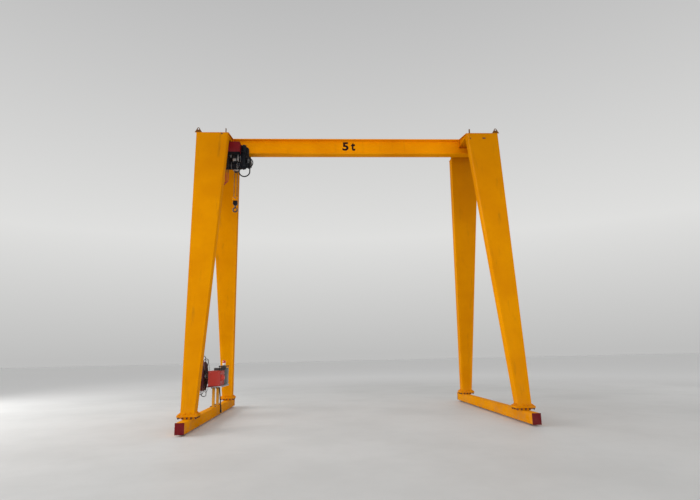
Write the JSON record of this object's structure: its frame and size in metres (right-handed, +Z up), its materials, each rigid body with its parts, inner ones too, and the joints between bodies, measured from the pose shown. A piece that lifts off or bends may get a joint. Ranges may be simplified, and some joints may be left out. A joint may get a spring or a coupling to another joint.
{
  "type": "single-girder gantry crane",
  "caption": "Yellow single-girder gantry crane on tapered A-frame legs and sill beams, with a low-headroom wire-rope hoist, hook block, cable reel and control box.",
  "frame": {"origin": "floor level under the middle of the crane", "axes": "+X along the girder, +Y away from the front, +Z up"},
  "size_m": [9.01, 6.624, 8.34],
  "materials": {
    "yellow_paint": "gloss",
    "stand_paint": "satin",
    "red_paint": "satin",
    "red_plastic": "gloss",
    "grey_paint": "satin",
    "black_plastic": "matte",
    "white_plastic": "gloss",
    "red_lens": "gloss",
    "bare_steel": "satin",
    "red_rubber": "matte",
    "black_paint": "satin",
    "dark_red_paint": "satin",
    "rope_steel": "satin",
    "hook_steel": "satin",
    "wheel_steel": "satin"
  },
  "bodies": {
    "structure": {"sill_left": "yellow_paint", "sill_right": "yellow_paint", "end_plate_left_front": "dark_red_paint", "end_plate_left_back": "dark_red_paint", "end_plate_right_front": "dark_red_paint", "end_plate_right_back": "dark_red_paint", "wheel_left_front": "wheel_steel", "wheel_left_back": "wheel_steel", "wheel_right_front": "wheel_steel", "wheel_right_back": "wheel_steel", "leg_left_front": "yellow_paint", "leg_left_back": "yellow_paint", "leg_right_front": "yellow_paint", "leg_right_back": "yellow_paint", "head_bracket_left_front": "yellow_paint", "head_bracket_left_back": "yellow_paint", "head_bracket_right_front": "yellow_paint", "head_bracket_right_back": "yellow_paint", "girder": "yellow_paint", "end_stop_left": "black_paint", "end_stop_right": "black_paint", "equipment_stand": "stand_paint", "control_box": "red_paint", "switch_boss": "red_plastic", "relay_cabinet": "grey_paint", "horn": "black_plastic", "beacon_base": "white_plastic", "beacon_lens": "red_lens", "reel_shaft": "bare_steel"},
    "reel": {"cable_reel": "bare_steel", "reel_coil": "red_rubber"},
    "trolley": {"trolley_side_front": "black_paint", "trolley_side_back": "black_paint", "trolley_frame": "black_paint", "rope_drum": "bare_steel", "hoist_motor": "black_paint", "hoist_gearbox": "black_paint", "hoist_cubicle": "dark_red_paint", "top_sheaves": "black_paint", "hoist_cables": "black_plastic", "supply_loops": "red_rubber"},
    "lower_block": {"rope_falls": "rope_steel", "hook_block": "yellow_paint", "hook_yoke": "black_paint"},
    "swivel_hook": {"hook": "hook_steel"}
  },
  "joints": [
    {"name": "trolley_travel", "type": "slide", "parent": "structure", "child": "trolley", "axis": [1, 0, 0], "range_m": [0, 6.96]},
    {"name": "hook_lift", "type": "slide", "parent": "trolley", "child": "lower_block", "axis": [0, 0, -1], "range_m": [-0.4, 5.5], "deforming": ["rope_falls"]},
    {"name": "hook_swivel", "type": "hinge", "parent": "lower_block", "child": "swivel_hook", "pos_m": [-3.48, 0, 6.2], "axis": [0, 0, 1], "continuous": true},
    {"name": "cable_reel_spin", "type": "hinge", "parent": "structure", "child": "reel", "pos_m": [-4.311, 0.24, 1.15], "axis": [1, 0, 0], "continuous": true}
  ]
}
